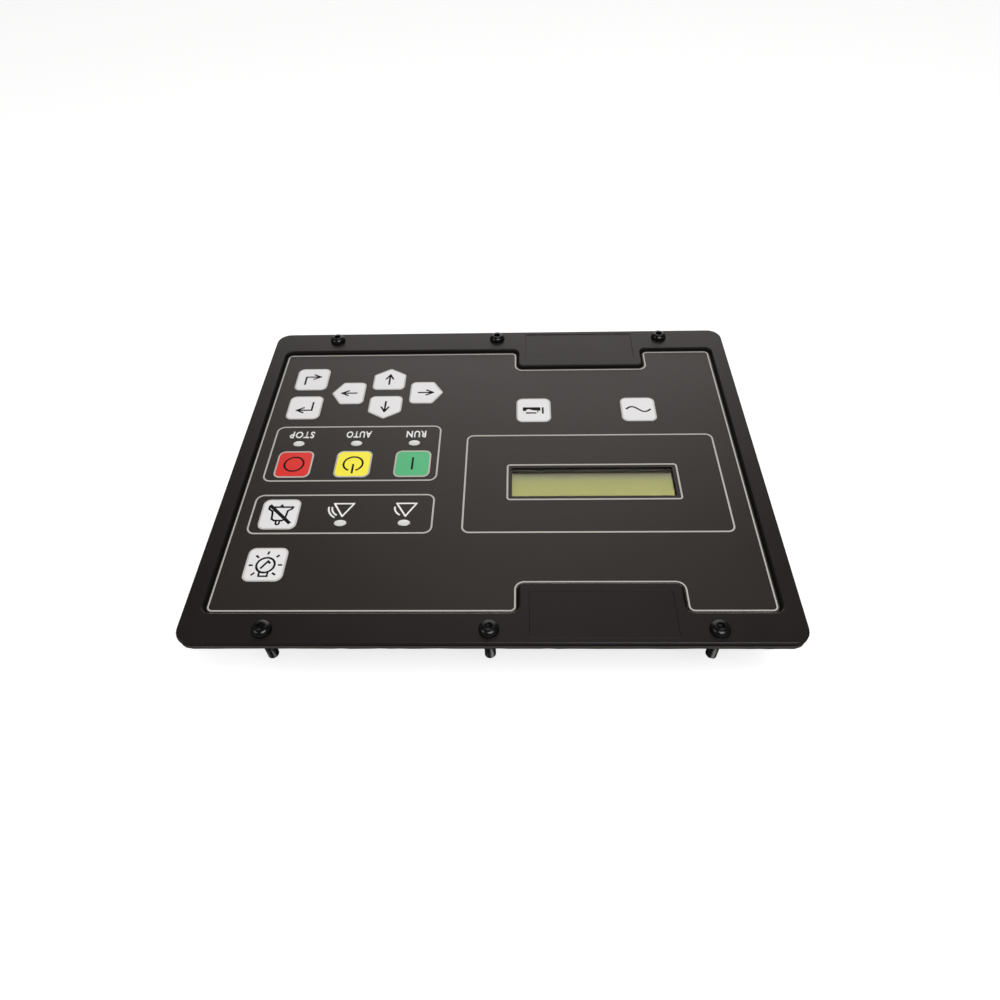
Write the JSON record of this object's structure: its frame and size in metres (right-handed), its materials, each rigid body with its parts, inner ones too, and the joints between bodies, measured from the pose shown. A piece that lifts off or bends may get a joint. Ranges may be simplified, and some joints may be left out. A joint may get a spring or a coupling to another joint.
{
  "type": "engine control module",
  "caption": "Panel-mounted keypad and display unit that starts, stops and monitors an engine, with a sealed rear housing and boxed harness headers.",
  "frame": {"origin": "middle of the panel screw pattern, in the plane where the gasket's back meets the panel", "axes": "+X right and +Y up the panel as an operator faces it, +Z out of the face; the rear housing is on the -Z side"},
  "size_m": [0.32, 0.258, 0.0483],
  "materials": {
    "bezel_plastic": "black moulded plastic with a fine powdery texture",
    "gasket_foam": "soft closed-cell foam, dull",
    "black_oxide": "black oxide steel, oiled gloss",
    "printed_film": "printed polyester, satin",
    "spacer_film": "clear polyester, dull",
    "dome_steel": "stainless spring steel",
    "circuit_film": "amber flexible circuit",
    "clear_window": "clear hard-coated acrylic",
    "black_sheet_steel": "black sheet steel",
    "display_glass": "yellow-green liquid crystal glass, unlit",
    "contact_rubber": "striped conductive rubber",
    "light_guide": "milky acrylic light guide",
    "green_board": "green glass-epoxy circuit board",
    "zinc_steel": "zinc plated steel",
    "frosted_acrylic": "milky clear acrylic",
    "led_epoxy": "pale LED packages",
    "black_nylon": "black nylon",
    "cream_nylon": "cream nylon",
    "chip_epoxy": "black moulded epoxy",
    "relay_blue": "blue moulded case",
    "can_sleeve": "dark blue shrink sleeve over aluminium",
    "copper_winding": "enamelled copper winding",
    "tinned_brass": "tin plated brass",
    "red_silicone": "brick red silicone",
    "plain_brass": "turned brass",
    "grey_nylon": "dark grey nylon",
    "seal_rubber": "dark nitrile rubber",
    "housing_plastic": "black glass-filled nylon",
    "silver_ink": "silver-grey screen print",
    "white_ink": "white screen print",
    "key_white": "white printed key area",
    "key_red": "red printed key area",
    "key_yellow": "yellow printed key area",
    "key_green": "green printed key area",
    "icon_black": "black printed symbols"
  },
  "bodies": {
    "root": {"front_bezel": "bezel_plastic", "panel_gasket": "gasket_foam", "panel_screws": "black_oxide", "key_film": "printed_film", "dome_spacer": "spacer_film", "snap_domes": "dome_steel", "key_circuit": "circuit_film", "display_window": "clear_window", "lcd_frame": "black_sheet_steel", "lcd_glass": "display_glass", "lcd_contact_strips": "contact_rubber", "lcd_backlight": "light_guide", "lcd_board": "green_board", "display_screws": "zinc_steel", "light_pipes": "frosted_acrylic", "status_leds": "led_epoxy", "main_board": "green_board", "board_screws": "zinc_steel", "display_connector": "black_nylon", "tail_socket": "cream_nylon", "processor": "chip_epoxy", "memory_chip": "chip_epoxy", "relays": "relay_blue", "filter_capacitors": "can_sleeve", "filter_choke": "copper_winding", "sensing_transformers": "chip_epoxy", "power_transistors": "chip_epoxy", "engine_header": "black_nylon", "engine_header_pins": "tinned_brass", "engine_header_seal": "red_silicone", "engine_jack_nut": "plain_brass", "generator_header": "grey_nylon", "generator_header_pins": "tinned_brass", "generator_header_seal": "red_silicone", "generator_jack_nut": "plain_brass", "housing_seal": "seal_rubber", "rear_housing": "housing_plastic", "cover_screws": "zinc_steel", "ground_stud": "plain_brass", "ground_washer": "zinc_steel", "ground_nut": "plain_brass"}
  },
  "joints": []
}
